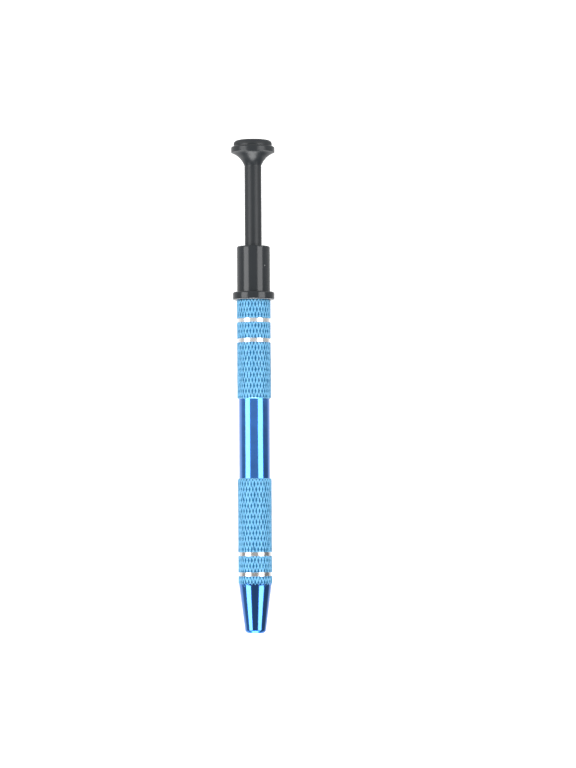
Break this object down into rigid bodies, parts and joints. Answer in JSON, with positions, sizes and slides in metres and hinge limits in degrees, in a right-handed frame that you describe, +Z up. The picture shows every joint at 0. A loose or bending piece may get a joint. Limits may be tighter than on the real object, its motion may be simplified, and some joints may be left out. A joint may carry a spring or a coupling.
{
  "type": "claw pickup tool",
  "caption": "Slim knurled metal barrel with a sprung push button that sends thin wire claws out of the nozzle to grip small parts.",
  "frame": {"origin": "on the surface that the tool lies on, under the middle of its length", "axes": "+Y along the tool towards the button, +Z up, +X to the right when looking along +Y"},
  "size_m": [0.0104, 0.118, 0.0107],
  "materials": {
    "blue_anodised": "blue anodised, with bright-cut rings where a tool has taken the colour off",
    "black_plastic": "satin black moulded plastic",
    "spring_steel": "bright drawn wire",
    "turned_brass": "turned"
  },
  "bodies": {
    "barrel": {"barrel": "blue_anodised", "guide_bush": "black_plastic", "return_spring": "spring_steel"},
    "plunger": {"plunger": "black_plastic", "stop_collar": "turned_brass", "claw_rod": "spring_steel", "claw_ferrule": "turned_brass"},
    "claw_1": {"claw_1": "spring_steel"},
    "claw_2": {"claw_2": "spring_steel"},
    "claw_3": {"claw_3": "spring_steel"},
    "claw_4": {"claw_4": "spring_steel"}
  },
  "joints": [
    {"name": "plunger_press", "type": "slide", "parent": "barrel", "child": "plunger", "axis": [0, -0.9999, -0.014], "range_m": [0, 0.016], "stiffness_N_per_m": 150, "springref_m": -0.005, "deforming": ["return_spring"]},
    {"name": "claw_1_spread", "type": "hinge", "parent": "plunger", "child": "claw_1", "pos_m": [0.00035, -0.04177, 0.00377], "axis": [0.7071, -0.0099, 0.707], "range_deg": [0, 8.6]},
    {"name": "claw_2_spread", "type": "hinge", "parent": "plunger", "child": "claw_2", "pos_m": [-0.00035, -0.04177, 0.00377], "axis": [0.7071, 0.0099, -0.707], "range_deg": [0, 8.6]},
    {"name": "claw_3_spread", "type": "hinge", "parent": "plunger", "child": "claw_3", "pos_m": [-0.00035, -0.04178, 0.00447], "axis": [-0.7071, 0.0099, -0.707], "range_deg": [0, 8.6]},
    {"name": "claw_4_spread", "type": "hinge", "parent": "plunger", "child": "claw_4", "pos_m": [0.00035, -0.04178, 0.00447], "axis": [-0.7071, -0.0099, 0.707], "range_deg": [0, 8.6]}
  ],
  "couplings": [
    {"joint": "claw_1_spread", "follows": "plunger_press", "rad_per_m": 9.272},
    {"joint": "claw_2_spread", "follows": "plunger_press", "rad_per_m": 9.272},
    {"joint": "claw_3_spread", "follows": "plunger_press", "rad_per_m": 9.272},
    {"joint": "claw_4_spread", "follows": "plunger_press", "rad_per_m": 9.272}
  ]
}
